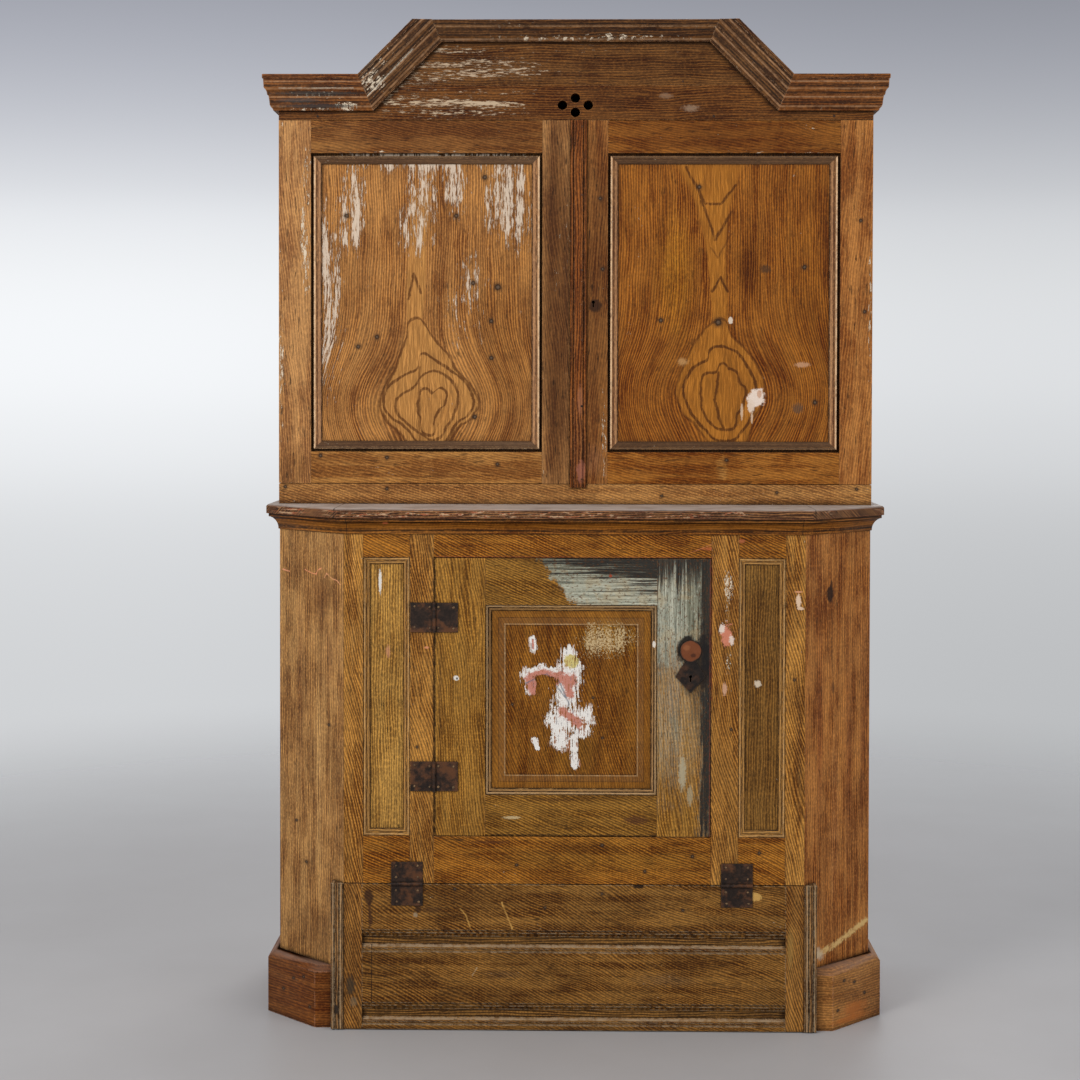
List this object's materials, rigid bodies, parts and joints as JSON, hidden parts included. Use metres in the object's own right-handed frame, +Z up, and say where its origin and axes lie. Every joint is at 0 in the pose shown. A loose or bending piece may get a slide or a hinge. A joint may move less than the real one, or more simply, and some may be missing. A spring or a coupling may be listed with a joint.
{
  "type": "two-stage corner-canted cupboard",
  "caption": "Tall painted two-stage cupboard: canted panelled base with one door and a hinged base flap, set-back upper case with a pair of panelled doors under a raised cornice.",
  "frame": {"origin": "on the floor, midway across the cupboard and midway from the waist nosing to the back boards", "axes": "+Z up, +Y from the front to the back, +X to the right as seen from the front"},
  "size_m": [1.354, 0.55, 2.151],
  "materials": {
    "painted_wood": "worn brown oak graining in paint",
    "bare_wood": "bare aged pine",
    "iron": "rusty wrought iron"
  },
  "bodies": {
    "case": {"lower_left_cant_board": "painted_wood", "lower_left_side_board": "painted_wood", "lower_right_cant_board": "painted_wood", "lower_right_side_board": "painted_wood", "lower_front_stiles": "painted_wood", "lower_front_rails": "painted_wood", "narrow_panels": "painted_wood", "narrow_panel_mouldings": "painted_wood", "waist_board": "painted_wood", "waist_mouldings": "painted_wood", "base_floor": "bare_wood", "cupboard_floor": "bare_wood", "lower_shelf": "bare_wood", "floor_bearers": "bare_wood", "shelf_battens": "bare_wood", "lower_back_boards": "bare_wood", "left_plinth": "painted_wood", "right_plinth": "painted_wood", "corner_strips": "painted_wood", "lower_case_hinge_leaves": "iron", "upper_case_hinge_leaves": "iron", "hinge_pins": "iron", "upper_left_side_board": "painted_wood", "upper_right_side_board": "painted_wood", "upper_floor": "bare_wood", "upper_base_rail": "painted_wood", "upper_shelves": "bare_wood", "upper_top_board": "bare_wood", "upper_back_boards": "bare_wood", "frieze_board": "painted_wood", "pediment_board": "painted_wood", "cornice_ends": "painted_wood", "cornice_returns": "painted_wood", "cornice_rakes": "painted_wood", "cornice_crown": "painted_wood"},
    "upper_left_door": {"upper_left_door_stiles": "painted_wood", "upper_left_door_rails": "painted_wood", "upper_left_door_panel": "painted_wood", "upper_left_door_mouldings": "painted_wood", "upper_left_hinge_leaves": "iron"},
    "upper_right_door": {"upper_right_door_stiles": "painted_wood", "upper_right_door_rails": "painted_wood", "upper_right_door_panel": "painted_wood", "upper_right_door_mouldings": "painted_wood", "upper_right_hinge_leaves": "iron", "meeting_strip": "painted_wood", "upper_lock_case": "iron"},
    "upper_bolt": {"upper_lock_bolt": "iron"},
    "lower_door": {"lower_door_stiles": "painted_wood", "lower_door_rails": "painted_wood", "lower_door_panel": "painted_wood", "lower_door_mouldings": "painted_wood", "lower_door_hinge_leaves": "iron", "escutcheon": "iron", "lower_lock_case": "iron"},
    "lower_bolt": {"lower_lock_bolt": "iron"},
    "base_flap": {"flap_stiles": "painted_wood", "flap_rails": "painted_wood", "flap_slats": "painted_wood", "flap_hinge_leaves": "iron"}
  },
  "joints": [
    {"name": "upper_left_door_hinge", "type": "hinge", "parent": "case", "child": "upper_left_door", "pos_m": [-0.645, -0.0555, 1.5425], "axis": [0, 0, -1], "range_deg": [0, 170]},
    {"name": "upper_right_door_hinge", "type": "hinge", "parent": "case", "child": "upper_right_door", "pos_m": [0.645, -0.0555, 1.5425], "axis": [0, 0, 1], "range_deg": [0, 170]},
    {"name": "lower_door_hinge", "type": "hinge", "parent": "case", "child": "lower_door", "pos_m": [-0.29425, -0.251, 0.706], "axis": [0, 0, -1], "range_deg": [0, 165]},
    {"name": "base_flap_hinge", "type": "hinge", "parent": "case", "child": "base_flap", "pos_m": [0, -0.251, 0.31125], "axis": [-1, 0, 0], "range_deg": [0, 100]},
    {"name": "upper_bolt_slide", "type": "slide", "parent": "upper_right_door", "child": "upper_bolt", "axis": [-1, 0, 0], "range_m": [0, 0.012]},
    {"name": "lower_bolt_slide", "type": "slide", "parent": "lower_door", "child": "lower_bolt", "axis": [1, 0, 0], "range_m": [0, 0.012]}
  ]
}
